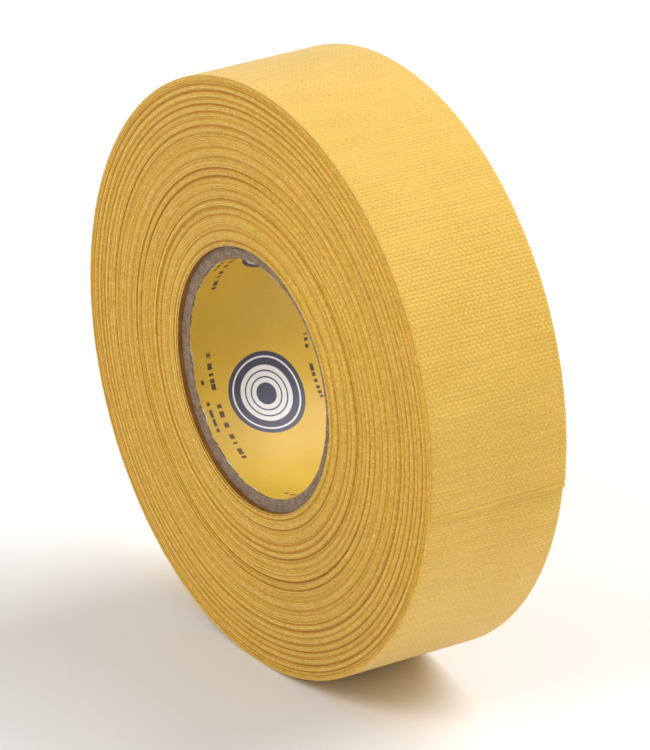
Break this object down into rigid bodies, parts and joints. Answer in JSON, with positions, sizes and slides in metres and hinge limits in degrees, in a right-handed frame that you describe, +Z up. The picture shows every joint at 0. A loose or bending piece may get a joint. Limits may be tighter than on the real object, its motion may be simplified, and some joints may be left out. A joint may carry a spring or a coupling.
{
  "type": "cloth grip tape roll",
  "caption": "Roll of woven cloth adhesive grip tape wound on a chipboard core with a printed paper liner, with a free end that peels back.",
  "frame": {"origin": "centre of the bore, halfway along the core", "axes": "+Y along the roll's axis, away from the side face that is seen; +Z up with the roll standing on its tread; +X towards the free end"},
  "size_m": [0.099, 0.0261, 0.0987],
  "materials": {
    "tape_cloth": "matte",
    "adhesive": "satin",
    "chipboard": "matte",
    "printed_paper": "satin"
  },
  "bodies": {
    "roll": {"paper_liner": "printed_paper", "core_ply_1": "chipboard", "core_ply_2": "chipboard", "core_ply_3": "chipboard", "core_ply_4": "chipboard", "winding_01": "tape_cloth", "winding_02": "tape_cloth", "winding_03": "tape_cloth", "winding_04": "tape_cloth", "winding_05": "tape_cloth", "winding_06": "tape_cloth", "winding_07": "tape_cloth", "winding_08": "tape_cloth", "winding_09": "tape_cloth", "winding_10": "tape_cloth", "winding_11": "tape_cloth", "winding_12": "tape_cloth", "winding_13": "tape_cloth", "winding_14": "tape_cloth", "winding_15": "tape_cloth", "winding_16": "tape_cloth", "winding_17": "tape_cloth", "winding_18": "tape_cloth", "winding_19": "tape_cloth", "winding_20": "tape_cloth", "winding_21": "tape_cloth", "winding_22": "tape_cloth", "winding_23": "tape_cloth", "winding_24": "tape_cloth", "outer_turn_cloth": "tape_cloth", "outer_turn_adhesive": "adhesive"},
    "free_end_1": {"free_end_1_cloth": "tape_cloth", "free_end_1_adhesive": "adhesive"},
    "free_end_2": {"free_end_2_cloth": "tape_cloth", "free_end_2_adhesive": "adhesive"},
    "free_end_3": {"free_end_3_cloth": "tape_cloth", "free_end_3_adhesive": "adhesive"},
    "free_end_4": {"free_end_4_cloth": "tape_cloth", "free_end_4_adhesive": "adhesive"}
  },
  "joints": [
    {"name": "peel", "type": "hinge", "parent": "roll", "child": "free_end_1", "pos_m": [0.04652, 0, 0.01691], "axis": [0, -1, 0], "range_deg": [0, 45]},
    {"name": "curl_2", "type": "hinge", "parent": "free_end_1", "child": "free_end_2", "pos_m": [0.04822, 0, 0.01116], "axis": [0, -1, 0], "range_deg": [0, 45]},
    {"name": "curl_3", "type": "hinge", "parent": "free_end_2", "child": "free_end_3", "pos_m": [0.04922, 0, 0.00525], "axis": [0, -1, 0], "range_deg": [0, 45]},
    {"name": "curl_4", "type": "hinge", "parent": "free_end_3", "child": "free_end_4", "pos_m": [0.04949, 0, -0.00074], "axis": [0, -1, 0], "range_deg": [0, 45]}
  ],
  "couplings": [
    {"joint": "curl_2", "follows": "peel", "ratio": 1},
    {"joint": "curl_3", "follows": "peel", "ratio": 1},
    {"joint": "curl_4", "follows": "peel", "ratio": 1}
  ]
}
